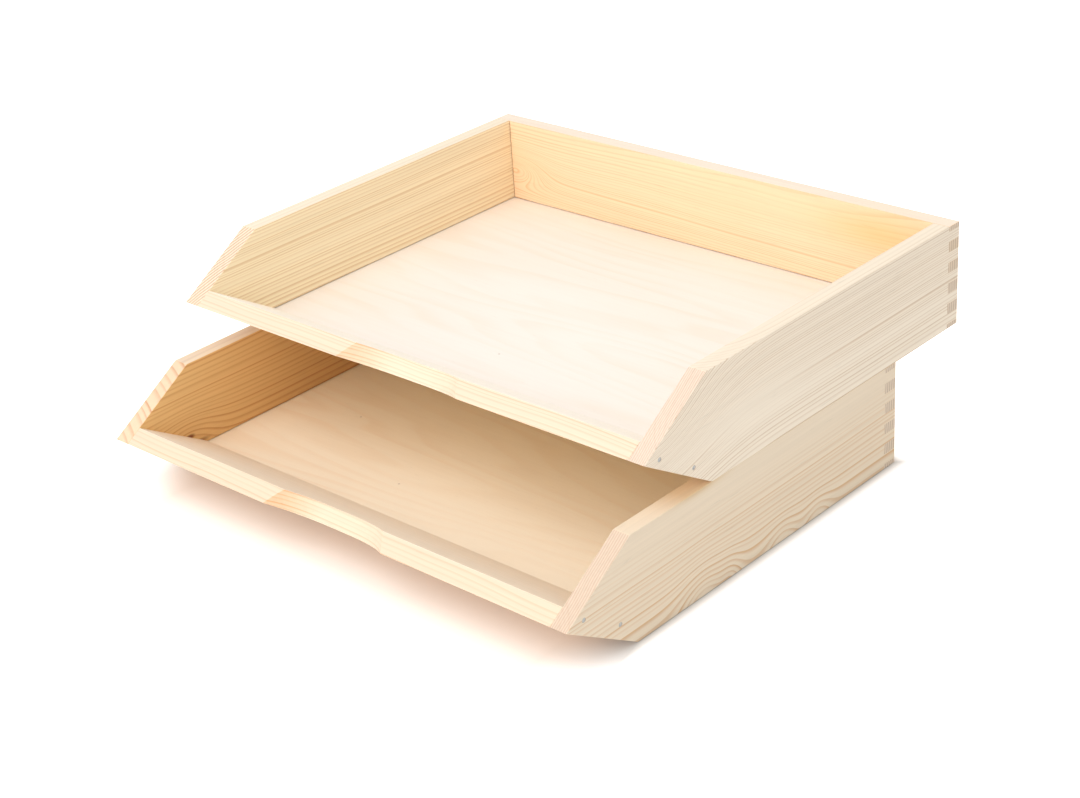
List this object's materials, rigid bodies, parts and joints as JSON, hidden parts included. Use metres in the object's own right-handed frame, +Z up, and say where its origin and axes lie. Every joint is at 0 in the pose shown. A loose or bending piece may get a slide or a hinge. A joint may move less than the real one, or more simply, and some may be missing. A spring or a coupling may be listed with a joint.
{
  "type": "letter tray stack",
  "caption": "Stack of open wooden letter trays, the upper one set back, each with sloped noses, a scooped front rail, box-jointed back corners and a thin plywood bottom.",
  "frame": {"origin": "middle of the stack's footprint, on the surface it stands on", "axes": "+X to the user's right, +Y towards the back, +Z up"},
  "size_m": [0.345, 0.345, 0.126],
  "materials": {
    "pine": "bare, finely sanded softwood",
    "birch_plywood": "bare, smooth light veneer",
    "brad_steel": "dull bright wire",
    "beech": "bare turned hardwood"
  },
  "bodies": {
    "lower_tray": {"lower_left_side": "pine", "lower_right_side": "pine", "lower_back_board": "pine", "lower_front_rail": "pine", "lower_bottom_panel": "birch_plywood", "lower_left_front_brad": "brad_steel", "lower_left_rear_brad": "brad_steel", "lower_right_front_brad": "brad_steel", "lower_right_rear_brad": "brad_steel", "front_left_dowel": "beech", "front_right_dowel": "beech", "back_left_dowel": "beech", "back_right_dowel": "beech"},
    "upper_tray": {"upper_left_side": "pine", "upper_right_side": "pine", "upper_back_board": "pine", "upper_front_rail": "pine", "upper_bottom_panel": "birch_plywood", "upper_left_front_brad": "brad_steel", "upper_left_rear_brad": "brad_steel", "upper_right_front_brad": "brad_steel", "upper_right_rear_brad": "brad_steel"}
  },
  "joints": [
    {"name": "upper_tray_lift", "type": "slide", "parent": "lower_tray", "child": "upper_tray", "axis": [0, 0, 1], "range_m": [0, 0.15]}
  ]
}
